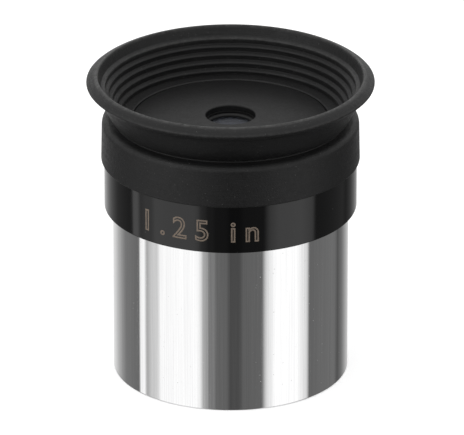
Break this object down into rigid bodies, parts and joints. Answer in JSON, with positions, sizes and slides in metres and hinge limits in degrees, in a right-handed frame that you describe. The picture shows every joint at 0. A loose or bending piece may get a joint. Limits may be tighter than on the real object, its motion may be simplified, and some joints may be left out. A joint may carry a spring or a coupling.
{
  "type": "telescope eyepiece",
  "caption": "Telescope eyepiece with a polished push-fit barrel, a black housing, a flared soft rubber eyecup and a coated lens stack inside.",
  "frame": {"origin": "centre of the barrel's open end, on the optical axis", "axes": "+Z along the optical axis towards the eye; X and Y complete a right-handed frame, with the marked side of the housing facing -Y"},
  "size_m": [0.0388, 0.0388, 0.0422],
  "materials": {
    "bright_chrome": "polished plating over turned metal",
    "gloss_black": "gloss black anodised, with a matte black eye end",
    "matte_black": "matte black anodised",
    "coated_glass": "polished optical glass with a blue anti-reflection coating",
    "black_rubber": "matte moulded rubber"
  },
  "bodies": {
    "barrel": {"barrel": "bright_chrome"},
    "optics": {"eye_lens_flint": "coated_glass", "eye_lens_crown": "coated_glass", "field_lens": "coated_glass"},
    "head": {"housing": "gloss_black", "lens_cell": "matte_black", "eye_lens_ring": "matte_black", "field_stop": "matte_black", "field_lens_ring": "matte_black"},
    "eyecup": {"eyecup": "black_rubber"}
  },
  "joints": [
    {"name": "head_lift", "type": "slide", "parent": "barrel", "child": "optics", "axis": [0, 0, 1], "range_m": [0, 0.00337]},
    {"name": "head_turn", "type": "hinge", "parent": "optics", "child": "head", "pos_m": [0, 0, 0.025], "axis": [0, 0, 1], "range_deg": [0, 1620]},
    {"name": "eyecup_pull", "type": "slide", "parent": "head", "child": "eyecup", "axis": [0, 0, 1], "range_m": [0, 0.008]}
  ],
  "couplings": [
    {"joint": "head_lift", "follows": "head_turn", "m_per_rad": 0.00011937}
  ]
}
